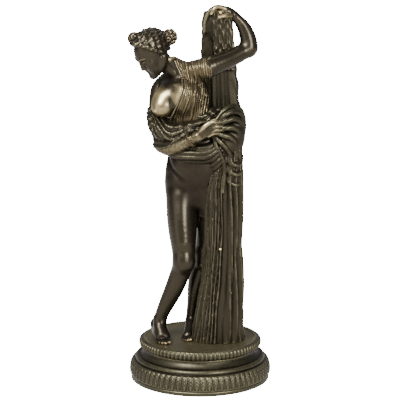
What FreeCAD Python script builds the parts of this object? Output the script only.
import FreeCAD, Part
import Sketcher
import math
import os

# Bronze statuette of a standing draped woman on a round moulded socle, 320 mm tall.
# Frame: +Z up, origin at the centre of the socle's underside, -Y is the side the figure is seen from.
# The figure is a set of castings pinned together. It stands on a loose terrace plate, studs under the
# right foot and the drapery hold it down with nuts, and screws hold the plate to the socle.

doc = FreeCAD.newDocument("statuette")
sheet = doc.addObject("Spreadsheet::Sheet", "Sizes")
Vector, Rotation, Placement = FreeCAD.Vector, FreeCAD.Rotation, FreeCAD.Placement


class Length:
    """A length that knows both its value and the words that bind it to the sheet."""

    rows = 0

    def __init__(self, words, value):
        self.words = words
        self.value = value

    def joined(self, other, sign, value):
        words = other.words if isinstance(other, Length) else repr(float(other))
        return Length(f"({self.words} {sign} {words})", value)

    def __add__(self, other):
        return self.joined(other, "+", self.value + number(other))

    def __sub__(self, other):
        return self.joined(other, "-", self.value - number(other))

    def __mul__(self, share):
        return self.joined(share, "*", self.value * share)


def number(length):
    """The plain value of a length or a number."""
    return length.value if isinstance(length, Length) else float(length)


def size(name, value):
    """Writes one driving dimension to the next row of the sheet and returns it as a length."""
    Length.rows += 1
    sheet.set(f"A{Length.rows}", name)
    sheet.set(f"B{Length.rows}", repr(float(value)))
    sheet.setAlias(f"B{Length.rows}", name)
    return Length(f"Sizes.{name}", float(value))


def bind(piece, **lengths):
    """Binds properties of a piece to lengths; place_x, place_y and place_z bind its place."""
    for name, length in lengths.items():
        path = f"Placement.Base.{name[-1]}" if name.startswith("place_") else name
        if isinstance(length, Length):
            piece.setExpression(path, length.words)
        elif name.startswith("place_"):
            piece.setExpression(path, repr(float(length)))
        else:
            setattr(piece, name, length)
    return piece


def add(kind, name, place=None, **lengths):
    """A document object at a place, with its sizes bound."""
    piece = doc.addObject(kind, name)
    if place is not None:
        piece.Placement = place
    return bind(piece, **lengths)


def along(point, direction):
    """The place at a point whose own Z runs along a direction."""
    return Placement(Vector(*point), Rotation(Vector(0, 0, 1), Vector(*direction)))


def joined(name, pieces):
    """Several solids fused into one."""
    made = doc.addObject("Part::MultiFuse", name)
    made.Shapes = pieces
    return made


def grouped(name, pieces):
    """Several solids kept apart in one node."""
    made = doc.addObject("Part::Compound", name)
    made.Links = pieces
    return made


def less(name, base, tools):
    """The base with every tool cut away."""
    made = doc.addObject("Part::Cut", name)
    made.Base = base
    made.Tool = tools[0] if len(tools) == 1 else joined(name + "_tools", tools)
    return made


# ---------------------------------------------------------------- sizes of the turned base
foot_radius = size("foot_radius", 59.5)
fillet_height = size("fillet_height", 3.5)
torus_top_radius = size("torus_top_radius", 57.5)
torus_top_height = size("torus_top_height", 17.0)
torus_curve = size("torus_curve", 10.0)
bead_radius = size("bead_radius", 55.2)
bead_top_radius = size("bead_top_radius", 53.6)
bead_rise = size("bead_rise", 3.4)
bead_curve = size("bead_curve", 2.2)
hollow_curve = size("hollow_curve", 6.6)
shoulder_radius = size("shoulder_radius", 47.6)
shoulder_height = size("shoulder_height", 27.0)
socle_wall = size("socle_wall", 3.2)
neck_radius = size("neck_radius", 44.5)
neck_rise = size("neck_rise", 4.0)
deck_thickness = size("deck_thickness", 3.5)
deck_opening = size("deck_opening", 13.0)
ring_foot_radius = size("ring_foot_radius", 48.4)
ring_side_radius = size("ring_side_radius", 49.4)
ring_chamfer = size("ring_chamfer", 1.0)
ring_height = size("ring_height", 8.4)
ring_curve = size("ring_curve", 3.8)
ring_wall = size("ring_wall", 2.4)
turned_gap = size("turned_gap", 0.15)
plate_thickness = size("plate_thickness", 3.6)

deck_top = shoulder_height + neck_rise
deck_under = deck_top - deck_thickness
terrace = deck_top + plate_thickness
rabbet_radius = ring_side_radius - ring_wall
plate_radius = rabbet_radius - turned_gap

# ---------------------------------------------------------------- sizes of the fixings
stud_radius = size("stud_radius", 2.0)
stud_gap = size("stud_gap", 0.25)
stud_bite = size("stud_bite", 6.0)
stud_tail = size("stud_tail", 1.6)
nut_corner = size("nut_corner", 4.0)
nut_height = size("nut_height", 3.2)
washer_radius = size("washer_radius", 5.2)
washer_thickness = size("washer_thickness", 0.9)
screw_radius = size("screw_radius", 1.5)
screw_head_radius = size("screw_head_radius", 2.9)
screw_head_height = size("screw_head_height", 2.2)
screw_slot = size("screw_slot", 0.8)
screw_bite = size("screw_bite", 2.6)
screw_circle = neck_radius - size("screw_inset", 8.5)
pin_radius = size("pin_radius", 1.1)
pin_gap = size("pin_gap", 0.05)
tenon_radius = size("tenon_radius", 4.0)
tenon_length = size("tenon_length", 7.0)
tenon_gap = size("tenon_gap", 0.2)
STUDS = {
    "foot": (size("foot_stud_x", -31.5), size("foot_stud_y", -11.0)),
    "front": (size("front_stud_x", 24.0), size("front_stud_y", -8.0)),
    "back": (size("back_stud_x", 16.0), size("back_stud_y", 17.0)),
}
SCREWS = 3
joint_gap = size("joint_gap", 0.2)
plug_radius = size("plug_radius", 1.0)
plug_depth = size("plug_depth", 2.2)
plug_stand = size("plug_stand", 0.3)
pin_length = size("pin_length", 12.0)
left_seat_radius = size("left_seat_radius", 7.3)
right_seat_radius = size("right_seat_radius", 7.1)
neck_seat_radius = size("neck_seat_radius", 8.1)


# ---------------------------------------------------------------- turned pieces
def flat_sketch(body, name):
    """An empty sketch on the body's own horizontal plane."""
    sketch = body.newObject("Sketcher::SketchObject", name)
    plane = [f for f in body.Origin.OriginFeatures if f.Role == "XY_Plane"][0]
    sketch.AttachmentSupport = [(plane, "")]
    sketch.MapMode = "FlatFace"
    return sketch


def hold(sketch, kind, *ends, length, name):
    """Adds a named dimension to a sketch and binds it."""
    value = abs(number(length))
    sketch.addConstraint(Sketcher.Constraint(kind, *ends, value))
    sketch.renameConstraint(sketch.ConstraintCount - 1, name)
    if isinstance(length, Length):
        words = length.words if length.value >= 0 else f"-({length.words})"
        sketch.setExpression(f"Constraints.{name}", words)


def circle_sketch(body, name, circles):
    """A sketch of circles, each (x, y, radius), all bound."""
    sketch = flat_sketch(body, name)
    for i, (x, y, r) in enumerate(circles):
        middle = Vector(number(x), number(y), 0)
        sketch.addGeometry(Part.Circle(middle, Vector(0, 0, 1), number(r)))
        hold(sketch, "Radius", i, length=r, name=f"radius_{i}")
        for kind, across, spot in (("DistanceX", x, "x"), ("DistanceY", y, "y")):
            if number(across) == 0:
                sketch.addConstraint(Sketcher.Constraint(kind, -1, 1, i, 3, 0.0))
            elif number(across) > 0:
                hold(sketch, kind, -1, 1, i, 3, length=across, name=f"{spot}_{i}")
            else:
                hold(sketch, kind, i, 3, -1, 1, length=across, name=f"{spot}_{i}")
    return sketch


def turned(name, corners):
    """A turned body from corners (radius, height, curve to the next corner), curve None for straight.
    A curve is (radius length, True if it bulges to the right of the way the outline runs)."""
    body = doc.addObject("PartDesign::Body", name)
    sketch = body.newObject("Sketcher::SketchObject", name + "_profile")
    plane = [f for f in body.Origin.OriginFeatures if f.Role == "XZ_Plane"][0]
    sketch.AttachmentSupport = [(plane, "")]
    sketch.MapMode = "FlatFace"
    count = len(corners)
    points = [Vector(number(r), number(z), 0) for r, z, _ in corners]
    for i, (_, _, curve) in enumerate(corners):
        a = points[i]
        b = points[(i + 1) % count]
        if curve is None:
            sketch.addGeometry(Part.LineSegment(a, b))
        else:
            radius, right = number(curve[0]), curve[1]
            chord = b - a
            side = Vector(chord.y, -chord.x, 0) * (1 if right else -1)
            side.normalize()
            rise = radius - math.sqrt(radius**2 - (chord.Length / 2) ** 2)
            ends = (a, b) if right else (b, a)
            sketch.addGeometry(Part.Arc(ends[0], (a + b) * 0.5 + side * rise, ends[1]))
    starts = [starts_at(sketch.Geometry[i], points[i]) for i in range(count)]
    for i in range(count):
        after = (i + 1) % count
        end = 3 - starts[i]
        sketch.addConstraint(Sketcher.Constraint("Coincident", i, end, after, starts[after]))
    for i, (r, z, curve) in enumerate(corners):
        hold(sketch, "DistanceX", -1, 1, i, starts[i], length=r, name=f"radius_{i}")
        if number(z) == 0:
            sketch.addConstraint(Sketcher.Constraint("DistanceY", -1, 1, i, starts[i], 0.0))
        else:
            hold(sketch, "DistanceY", -1, 1, i, starts[i], length=z, name=f"height_{i}")
        if curve is not None:
            hold(sketch, "Radius", i, length=curve[0], name=f"curve_{i}")
    turn = body.newObject("PartDesign::Revolution", name + "_turn")
    turn.Profile = sketch
    turn.ReferenceAxis = (sketch, ["V_Axis"])
    turn.Angle = 360
    body.Tip = turn
    doc.recompute()
    return body


def starts_at(edge, point):
    """Which end of an edge, 1 or 2, lies at a point. Every arc is made to run anticlockwise."""
    return 1 if (edge.StartPoint - point).Length < 1e-6 else 2


def bored(body, name, circles, pattern=0):
    """Holes right through a body along Z, once or as a polar pattern."""
    pocket = body.newObject("PartDesign::Pocket", name)
    pocket.Profile = circle_sketch(body, name + "_circles", circles)
    pocket.Type = 1
    pocket.Midplane = True
    body.Tip = pocket
    doc.recompute()
    if pattern:
        ring = body.newObject("PartDesign::PolarPattern", name + "_ring")
        ring.Originals = [pocket]
        ring.Axis = (pocket.Profile[0], ["N_Axis"])
        ring.Angle = 360
        ring.Occurrences = pattern
        body.Tip = ring
        doc.recompute()
    return body


def make_socle():
    """The moulded foot: an open turned shell with a deck across its top for the plate to sit on."""
    bead_top = torus_top_height + bead_rise
    body = turned(
        "socle",
        [
            (foot_radius - socle_wall, 0, None),
            (foot_radius, 0, None),
            (foot_radius, fillet_height, (torus_curve, True)),
            (torus_top_radius, torus_top_height, None),
            (bead_radius, torus_top_height, (bead_curve, True)),
            (bead_top_radius, bead_top, (hollow_curve, False)),
            (shoulder_radius, shoulder_height, None),
            (neck_radius, shoulder_height, None),
            (neck_radius, deck_top, None),
            (deck_opening, deck_top, None),
            (deck_opening, deck_under, None),
            (neck_radius - socle_wall, deck_under, None),
            (neck_radius - socle_wall, bead_top - socle_wall, None),
            (torus_top_radius - socle_wall, torus_top_height - socle_wall, None),
        ],
    )
    bored(body, "stud_holes", [(x, y, stud_radius + stud_gap) for x, y in STUDS.values()])
    return bored(body, "screw_holes", [(screw_circle, 0, screw_radius + stud_gap)], SCREWS)


def make_moulding():
    """The upper moulding: a half-round ring that slides over the socle's neck and frames the plate."""
    ring_top = shoulder_height + ring_height
    return turned(
        "upper_moulding",
        [
            (neck_radius + turned_gap, shoulder_height, None),
            (ring_foot_radius, shoulder_height, None),
            (ring_side_radius, shoulder_height + ring_chamfer, (ring_curve, True)),
            (ring_side_radius, ring_top, None),
            (rabbet_radius, ring_top, None),
            (rabbet_radius, deck_top, None),
            (neck_radius + turned_gap, deck_top, None),
        ],
    )


def make_terrace():
    """The round plate that the figure stands on, dropped into the moulding and screwed down."""
    body = doc.addObject("PartDesign::Body", "terrace_plate")
    pad = body.newObject("PartDesign::Pad", "plate_disc")
    pad.Profile = circle_sketch(body, "plate_circle", [(0, 0, plate_radius)])
    pad.setExpression("Length", plate_thickness.words)
    body.Tip = pad
    doc.recompute()
    bored(body, "plate_studs", [(x, y, stud_radius + stud_gap) for x, y in STUDS.values()])
    tapped = body.newObject("PartDesign::Pocket", "plate_taps")
    tapped.Profile = circle_sketch(body, "tap_circle", [(screw_circle, 0, screw_radius)])
    tapped.setExpression("Length", (screw_bite + pin_gap).words)
    tapped.Reversed = True
    body.Tip = tapped
    doc.recompute()
    ring = body.newObject("PartDesign::PolarPattern", "plate_tap_ring")
    ring.Originals = [tapped]
    ring.Axis = (tapped.Profile[0], ["N_Axis"])
    ring.Angle = 360
    ring.Occurrences = SCREWS
    body.Tip = ring
    return bind(body, place_z=deck_top)


# ---------------------------------------------------------------- fixings under the deck
def stud(name, x, y, height):
    """A plain stud from below its nut up into the casting it holds."""
    below = washer_thickness + nut_height + stud_tail
    return add(
        "Part::Cylinder", name + "_stud", Radius=stud_radius,
        Height=deck_thickness + plate_thickness + below + height,
        place_x=x, place_y=y, place_z=deck_under - below,
    )


def stud_hole(name, x, y):
    """What a casting loses to the stud that is brazed into it, in the figure's own frame."""
    return add(
        "Part::Cylinder", name + "_stud_seat", Radius=stud_radius + pin_gap,
        Height=stud_bite + 1.0, place_x=x, place_y=y, place_z=Length("-1.0", -1.0),
    )


def washer(name, x, y):
    disc = add("Part::Cylinder", name + "_disc", Radius=washer_radius, Height=washer_thickness)
    hole = add("Part::Cylinder", name + "_hole", Radius=stud_radius + stud_gap, Height=washer_thickness)
    made = less(name, disc, [hole])
    return bind(made, place_x=x, place_y=y, place_z=deck_under - washer_thickness)


def nut(name, x, y):
    block = add("Part::Prism", name + "_block", Circumradius=nut_corner, Height=nut_height)
    hole = add("Part::Cylinder", name + "_hole", Radius=stud_radius + pin_gap, Height=nut_height)
    made = less(name, block, [hole])
    return bind(made, place_x=x, place_y=y, place_z=deck_under - washer_thickness - nut_height)


def plate_screw(name, angle):
    """A slotted cheese-head screw, driven up through the deck into the plate."""
    x = screw_circle * math.cos(math.radians(angle))
    y = screw_circle * math.sin(math.radians(angle))
    shank = add("Part::Cylinder", name + "_shank", Radius=screw_radius - pin_gap,
                Height=deck_thickness + screw_bite, place_z=screw_head_height)
    head = add("Part::Cylinder", name + "_head", Radius=screw_head_radius, Height=screw_head_height)
    slot = add("Part::Box", name + "_slot", Length=screw_head_radius * 2, Width=screw_slot,
               Height=screw_slot, place_x=screw_head_radius * -1.0, place_y=screw_slot * -0.5)
    made = less(name, joined(name + "_blank", [shank, head]), [slot])
    return bind(made, place_x=x, place_y=y, place_z=deck_under - screw_head_height)


# ---------------------------------------------------------------- castings of the figure
# The figure's own frame has its ground at the top of the terrace plate. A station of a casting is
# (name, x, y, up, half width, half depth): an oval across the limb or the cloth at that point.
TORSO = [
    ("seat", -2, 2, 129, 27.5, 18.5),
    ("hip", -2, 2, 150, 26.5, 17.5),
    ("waist", -6, -1, 173, 19, 13),
    ("ribs", -10, -1, 190, 18.5, 14),
    ("chest", -12.5, -1, 206, 18.8, 14.5),
    ("yoke", -13, 0.5, 218, 16, 10.5),
    ("collar", -17, 0, 226, 9, 8.2),
]
TORSO_TURN = {"waist": 12, "ribs": 25, "chest": 33, "yoke": 28, "collar": 10}
TORSO_LEAN = {"ribs": 6, "chest": 10, "yoke": 14, "collar": 30}
RIGHT_LEG = [
    ("right_hip", -12, 1, 148, 10.5, 10.4),
    ("right_thigh", -14.5, -1.5, 122, 13.2, 13),
    ("right_low_thigh", -14, -9, 95, 11.2, 11),
    ("right_knee", -12.7, -15, 69, 9.2, 9),
    ("right_calf", -21.5, -10, 49, 8, 7.8),
    ("right_shin", -28, -6, 34, 6.2, 6),
    ("right_ankle", -33.5, -3, 19, 4.9, 4.8),
    ("right_heel_top", -35.5, -2, 9, 4.6, 4.4),
]
RIGHT_FOOT = [
    ("right_heel", -38, 5, 9.5, 3.4, 3.6),
    ("right_instep", -35, -5, 8.2, 5.8, 5.4),
    ("right_ball", -31.5, -16, 3.8, 7, 3.6),
    ("right_toes", -29.5, -22, 2.2, 6, 2),
]
LEFT_LEG = [
    ("left_hip", 10.5, 3, 148, 10.5, 10.4),
    ("left_thigh", 11.5, 2.5, 120, 12.2, 12),
    ("left_low_thigh", 7, 2, 92, 10.4, 10.2),
    ("left_knee", 3, 2, 68, 8.6, 8.4),
    ("left_calf", -2, 5, 48, 7.8, 7.6),
    ("left_shin", -4.5, 7, 33, 6, 5.8),
    ("left_ankle", -7, 8.5, 15, 4.8, 4.7),
    ("left_heel_top", -7.5, 8.5, 6.4, 4.5, 4.4),
]
LEFT_FOOT = [
    ("left_heel", -6.5, 14, 4.4, 3.6, 3.8),
    ("left_instep", -8, 4, 6, 5.6, 5.4),
    ("left_ball", -9.5, -7, 3.6, 6.6, 3.5),
    ("left_toes", -10, -12.5, 2.1, 5.6, 1.9),
]
RIGHT_STUB = [
    ("right_stub_root", -17, 4, 215, 7, 6.9),
    ("right_stub_end", -29.32, 9.6, 212.2, 7.1, 7),
]
RIGHT_ARM = [
    ("right_shoulder", -38, 10.9, 206.4, 7.4, 7.3),
    ("right_upper_arm", -39, 5, 190, 6.5, 6.4),
    ("right_elbow", -32, -9.5, 168, 6, 5.8),
    ("right_forearm", -20, -19.5, 168.5, 5.2, 5.1),
    ("right_wrist", -5, -23.5, 176, 3.8, 3.6),
    ("right_palm", 6, -23, 184, 5, 3),
    ("right_fingers", 16, -20, 191, 4.6, 2.6),
]
LEFT_STUB = [
    ("left_stub_root", -10, -2, 219, 7, 6.9),
    ("left_stub_end", 0, -7, 227.5, 7.4, 7.3),
]
LEFT_ARM = [
    ("left_shoulder", 9, -8, 233, 7.9, 7.8),
    ("left_upper_arm", 24, -1, 238, 7.4, 7.3),
    ("left_elbow", 40.5, 7, 244.5, 6.8, 6.7),
    ("left_forearm", 39, 9, 257, 6.8, 6.6),
    ("left_wrist", 29, 8, 272, 4.4, 4),
    ("left_palm", 21, 6, 278, 5, 3.4),
    ("left_fingers", 12.5, 3, 278.5, 4.4, 2.8),
]
BACK_DRAPERY = [
    ("back_hem", 11, 14.5, 0, 24.5, 9.5),
    ("back_low", 13, 15, 50, 22.5, 8.4),
    ("back_middle", 15.5, 16, 125, 20.5, 7.4),
    ("back_upper", 16, 16.5, 200, 17, 6.6),
    ("back_high", 15.3, 14.5, 250, 15, 6.2),
    ("back_fold", 13, 10.5, 276, 10.5, 6),
    ("back_peak", 12, 9.5, 285.4, 3.4, 3),
]
FRONT_DRAPERY = [
    ("front_hem", 16, -10, 0, 19, 14),
    ("front_low", 17.5, -9.5, 26, 17.6, 13.5),
    ("front_middle", 19, -9, 76, 16.4, 12.5),
    ("front_upper", 20.5, -9, 126, 15.4, 12),
    ("front_gather", 22.5, -8, 160, 13.4, 11.2),
    ("front_top", 25, -7, 171, 9.5, 8.5),
]
HIP_BUNDLE = [
    ("bundle_low", 25.5, -12, 158, 6.5, 6),
    ("bundle_middle", 30, -9.5, 169, 8.6, 8.2),
    ("bundle_high", 33.5, -7, 180, 8, 7.4),
    ("bundle_top", 35, -5.5, 189, 3.4, 3.2),
]
HEAD = [
    ("head_chin", -41, -9, 227.5, 6, 5),
    ("head_jaw", -40.5, -8.5, 233, 13, 11),
    ("head_cheek", -39.5, -7.5, 240, 17.4, 14.5),
    ("head_middle", -39, -7, 247, 18.6, 15.5),
    ("head_brow", -38.5, -6.5, 254, 17.4, 14.5),
    ("head_upper", -38, -6, 260.5, 12.4, 10.5),
    ("head_crown", -37.5, -6, 265, 4, 3.5),
]
NECK = [
    ("neck_middle", -22, -2.5, 233, 6.7, 6.6),
    ("neck_nape", -32, -6, 242, 7.2, 7),
]


SHAPES = {}


def station(name, x, y, up, wide, deep, facing, across, grow):
    """An oval station with every size bound. Facing is its normal, across the way its width runs."""
    normal = Vector(*facing)
    normal.normalize()
    width = Vector(*across)
    width = width - normal * width.dot(normal)
    width.normalize()
    if name not in SHAPES:
        SHAPES[name] = [
            size(f"{name}_{word}", value)
            for word, value in (("x", x), ("y", y), ("up", up), ("wide", max(wide, deep + 0.01)), ("deep", deep))
        ]
    x, y, up, wide, deep = SHAPES[name]
    if grow is not None:
        wide, deep = wide + grow, deep + grow
    oval = doc.addObject("Part::Ellipse", name)
    oval.Placement = Placement(Vector(0, 0, 0), Rotation(width, normal.cross(width), normal, "ZXY"))
    return bind(oval, MajorRadius=wide, MinorRadius=deep, place_x=x, place_y=y, place_z=up)


def limb(name, stations, across=(1, 0, 0), grow=None):
    """A loft through stations that face along the line from the one before to the one after."""
    ovals = []
    for i, (label, x, y, up, wide, deep) in enumerate(stations):
        before = stations[max(i - 1, 0)]
        after = stations[min(i + 1, len(stations) - 1)]
        facing = tuple(after[k] - before[k] for k in (1, 2, 3))
        ovals.append(station(label, x, y, up, wide, deep, facing, across, grow))
    return add("Part::Loft", name, Sections=ovals, Solid=True, Ruled=True)


def level(name, stations, turns=None, leans=None, grow=None):
    """A loft through level stations, each turned about Z and then leaned to its own left, in degrees."""
    ovals = []
    for label, x, y, up, wide, deep in stations:
        turn = math.radians((turns or {}).get(label, 0))
        lean = math.radians((leans or {}).get(label, 0))
        across = (math.cos(turn) * math.cos(lean), -math.sin(turn) * math.cos(lean), math.sin(lean))
        facing = (-math.cos(turn) * math.sin(lean), math.sin(turn) * math.sin(lean), math.cos(lean))
        ovals.append(station(label, x, y, up, wide, deep, facing, across, grow))
    return add("Part::Loft", name, Sections=ovals, Solid=True, Ruled=True)


def ball(name, x, y, up, radius, grow=None):
    """A sphere in the figure's frame, bound like a station."""
    if name not in SHAPES:
        words = (("x", x), ("y", y), ("up", up), ("radius", radius))
        SHAPES[name] = [size(f"{name}_{word}", value) for word, value in words]
    x, y, up, radius = SHAPES[name]
    if grow is not None:
        radius = radius + grow
    return add("Part::Sphere", name, Radius=radius, place_x=x, place_y=y, place_z=up)


def rod(name, x, y, up, direction, radius, length):
    """A round bar from a point along a direction."""
    bar = add("Part::Cylinder", name, along((0, 0, 0), direction), Radius=radius, Height=length)
    return bind(bar, place_x=x, place_y=y, place_z=up)


def raised(name, shape):
    """Names a finished casting and lifts it from its own ground onto the terrace."""
    shape.Label = name
    return bind(shape, place_z=terrace)


def seat(name, x, y, up, way):
    """Where two castings meet: a point on the sheet and the way the tenon or pin runs."""
    return size(f"{name}_x", x), size(f"{name}_y", y), size(f"{name}_up", up), way


NECK_SEAT = seat("neck_seat", -17, 0, 226, (-0.492, 0.087, 0.866))
LEFT_SEAT = seat("left_seat", 0, -7, 227.5, (10, -5, 8.5))
RIGHT_SEAT = seat("right_seat", -29.32, 9.6, 212.2, (-11, 5, -2.5))
NECK_PIN = seat("neck_pin", -15.1, 0.7, 222.5, (1, -2.75, 0))
LEFT_PIN = seat("left_pin", -2.1, -5.95, 225.7, (1, 2, 0))
RIGHT_PIN = seat("right_pin", -26.6, 8.4, 212.8, (5, 11, 0))
HAND_PIN = seat("hand_pin", 17, 5, 277.5, (0, 1, 0))
HIP_PIN = seat("hip_pin", 27, -10, 166, (-1, 1, -2))
PLUGS = {
    "upper_plug": (seat("upper_plug", 17, -21.2, 82, (0, 1, 0)), "front"),
    "lower_plug": (seat("lower_plug", 26, -20.4, 44, (-0.3, 1, 0)), "front"),
    "back_plug": (seat("back_plug", 20, 24.1, 90, (0, -1, 0)), "back"),
    "thigh_plug": (seat("thigh_plug", -27.8, -3, 118, (1, 0, 0)), "body"),
}


def trunk(name, grow=None):
    """Torso, breasts and both legs as one solid, plain or grown by a gap."""
    return joined(name, [
        level(name + "_hips", TORSO[:3], TORSO_TURN, TORSO_LEAN, grow),
        level(name + "_chest", TORSO[2:], TORSO_TURN, TORSO_LEAN, grow),
        limb(name + "_right_leg", RIGHT_LEG, grow=grow),
        limb(name + "_right_foot", RIGHT_FOOT, grow=grow),
        limb(name + "_left_leg", LEFT_LEG, grow=grow),
        limb(name + "_left_foot", LEFT_FOOT, grow=grow),
        limb(name + "_right_stub", RIGHT_STUB, grow=grow),
        limb(name + "_left_stub", LEFT_STUB, grow=grow),
        ball("right_breast", -30.5, -8.5, 202, 8.6, grow),
        ball("left_breast", -12.5, -15, 208, 8.6, grow),
    ])


def from_seat(name, place, stations, radius, across=(1, 0, 0), grow=None):
    """A limb that starts on a flat seat, a gap off it, and runs on through its stations."""
    x, y, up, way = place
    first = doc.addObject("Part::Circle", name + "_start")
    first.Placement = along((0, 0, 0), way)
    step = Vector(*way)
    step.normalize()
    bind(first, Radius=radius if grow is None else radius + grow)
    for axis, spot, part in zip("xyz", (x, y, up), step):
        first.setExpression(f"Placement.Base.{axis}", f"{spot.words} + {part!r} * {joint_gap.words}")
    loft = limb(name, stations, across, grow)
    loft.Sections = [first] + loft.Sections
    return loft


def left_arm(name, grow=None):
    return from_seat(name, LEFT_SEAT, LEFT_ARM, left_seat_radius, (0.37, -0.91, 0.19), grow)


def right_arm(name, grow=None):
    return from_seat(name, RIGHT_SEAT, RIGHT_ARM, right_seat_radius, (-0.53, -0.78, 0.32), grow)


def bar(name, place, radius, length, before):
    """A round bar along a seat's way, started a length before the seat's point."""
    x, y, up, way = place
    step = Vector(*way)
    step.normalize()
    made = add("Part::Cylinder", name, along((0, 0, 0), way), Radius=radius, Height=length)
    for axis, spot, part in zip("xyz", (x, y, up), step):
        made.setExpression(f"Placement.Base.{axis}", f"{spot.words} - {part!r} * {before.words}")
    return made


def tenon(name, place, gap=None):
    """A round tenon from inside the body out into a limb, or with a gap the socket for it."""
    radius, before = tenon_radius, tenon_length
    if gap is not None:
        radius, before = radius + gap, before + gap
    return bar(name, place, radius, before + tenon_length, before)


def pin(name, place, gap=None):
    """A round pin centred on its seat, or with a gap the hole for it."""
    radius, length = pin_radius, pin_length
    if gap is not None:
        radius, length = radius + gap, length + gap * 2.0
    return bar(name, place, radius, length, length * 0.5)


def plug(name, place, gap=None):
    """A round plug let into a casting's skin, its face at the seat, or with a gap the hole for it."""
    radius, depth = plug_radius, plug_depth
    if gap is not None:
        radius, depth = radius + gap, depth + gap
    return bar(name, place, radius, depth + plug_stand, plug_stand)


def plug_seats(casting):
    return [plug(name + "_seat", place, pin_gap) for name, (place, held_by) in PLUGS.items() if held_by == casting]


def make_body():
    """Torso, breasts and legs in one casting, with sockets for the head and both arms."""
    tools = [tenon(name, place, tenon_gap) for name, place in (
        ("neck_socket", NECK_SEAT), ("left_socket", LEFT_SEAT), ("right_socket", RIGHT_SEAT))]
    tools += [pin(name, place, pin_gap) for name, place in (
        ("neck_drill", NECK_PIN), ("left_drill", LEFT_PIN), ("right_drill", RIGHT_PIN))]
    tools += [stud_hole("foot", *STUDS["foot"])] + plug_seats("body")
    return raised("body_casting", less("body", trunk("trunk"), tools))


def make_limb(label, blank, place, pins):
    """An outer casting that butts on its seat, with its tenon added and its pins drilled."""
    whole = joined(label + "_whole", [blank, tenon(label + "_tenon", place)])
    drills = [pin(f"{label}_drill_{i}", spot, pin_gap) for i, spot in enumerate(pins)]
    return raised(label, less(label + "_cut", whole, drills))


def make_head():
    """Head, neck and bunched hair, butted on the collar."""
    blank = joined("head_blank", [
        from_seat("neck", NECK_SEAT, NECK, neck_seat_radius), level("skull", HEAD),
        ball("front_bunch", -53, -10, 254, 7.6),
        ball("back_bunch", -27, -4, 254.5, 8.2),
    ])
    return make_limb("head_casting", blank, NECK_SEAT, [NECK_PIN])


def make_draperies():
    """The cloth behind, the fall in front and the bundle at the hip, each cut back from what it lies on."""
    holes = {
        "back": [stud_hole("back", *STUDS["back"]), pin("hand_drill", HAND_PIN, pin_gap)],
        "front": [stud_hole("front", *STUDS["front"]), pin("hip_drill", HIP_PIN, pin_gap)],
        "bundle": [pin("bundle_drill", HIP_PIN, pin_gap)],
    }
    back = less("back_cut", level("back_slab", BACK_DRAPERY), [
        trunk("back_room", joint_gap), left_arm("back_arm_room", joint_gap)] + holes["back"] + plug_seats("back"))
    front = less("front_cut", level("front_fall", FRONT_DRAPERY), [
        trunk("front_room", joint_gap)] + holes["front"] + plug_seats("front"))
    bundle = less("bundle_cut", limb("bundle", HIP_BUNDLE), [
        trunk("bundle_room", joint_gap), level("bundle_fall_room", FRONT_DRAPERY, grow=joint_gap)]
        + holes["bundle"])
    return raised("back_drapery", back), raised("front_drapery", front), raised("hip_bundle", bundle)


pieces = [make_socle(), make_moulding(), make_terrace(), make_body(), make_head()]
pieces.append(make_limb("left_arm_casting", left_arm("left_arm"), LEFT_SEAT, [LEFT_PIN, HAND_PIN]))
pieces.append(make_limb("right_arm_casting", right_arm("right_arm"), RIGHT_SEAT, [RIGHT_PIN]))
pieces += make_draperies()
for label, place in (("neck_pin", NECK_PIN), ("left_shoulder_pin", LEFT_PIN), ("right_shoulder_pin", RIGHT_PIN),
                     ("hand_pin", HAND_PIN), ("hip_pin", HIP_PIN)):
    pieces.append(pin(label, place))
for label, (place, _) in PLUGS.items():
    pieces.append(plug(label, place))
for fixed in pieces[-9:]:
    words = dict(fixed.ExpressionEngine)[".Placement.Base.z"]
    fixed.setExpression("Placement.Base.z", f"{words} + {terrace.words}")
for which, (x, y) in STUDS.items():
    pieces.append(stud(which, x, y, stud_bite))
    pieces.append(washer(which + "_washer", x, y))
    pieces.append(nut(which + "_nut", x, y))
for i in range(SCREWS):
    pieces.append(plate_screw(f"plate_screw_{i + 1}", 360.0 / SCREWS * i))
doc.recompute()

for made in doc.Objects:
    if "Invalid" in made.State or "Error" in made.State:
        raise RuntimeError(f"{made.Name} did not recompute: {made.State}")
os.makedirs("parts", exist_ok=True)
for piece in pieces:
    if piece.Label == piece.Name or not piece.Label:
        piece.Label = piece.Name
    shape = piece.Shape
    if shape.isNull() or not shape.isValid() or shape.Volume <= 0:
        raise RuntimeError(f"{piece.Label} is not a sound solid")
    shape.exportStep(f"parts/{piece.Label}.step")
    print(f"{piece.Label:22s} {len(shape.Solids)} solid {shape.Volume / 1000:9.2f} cm3")
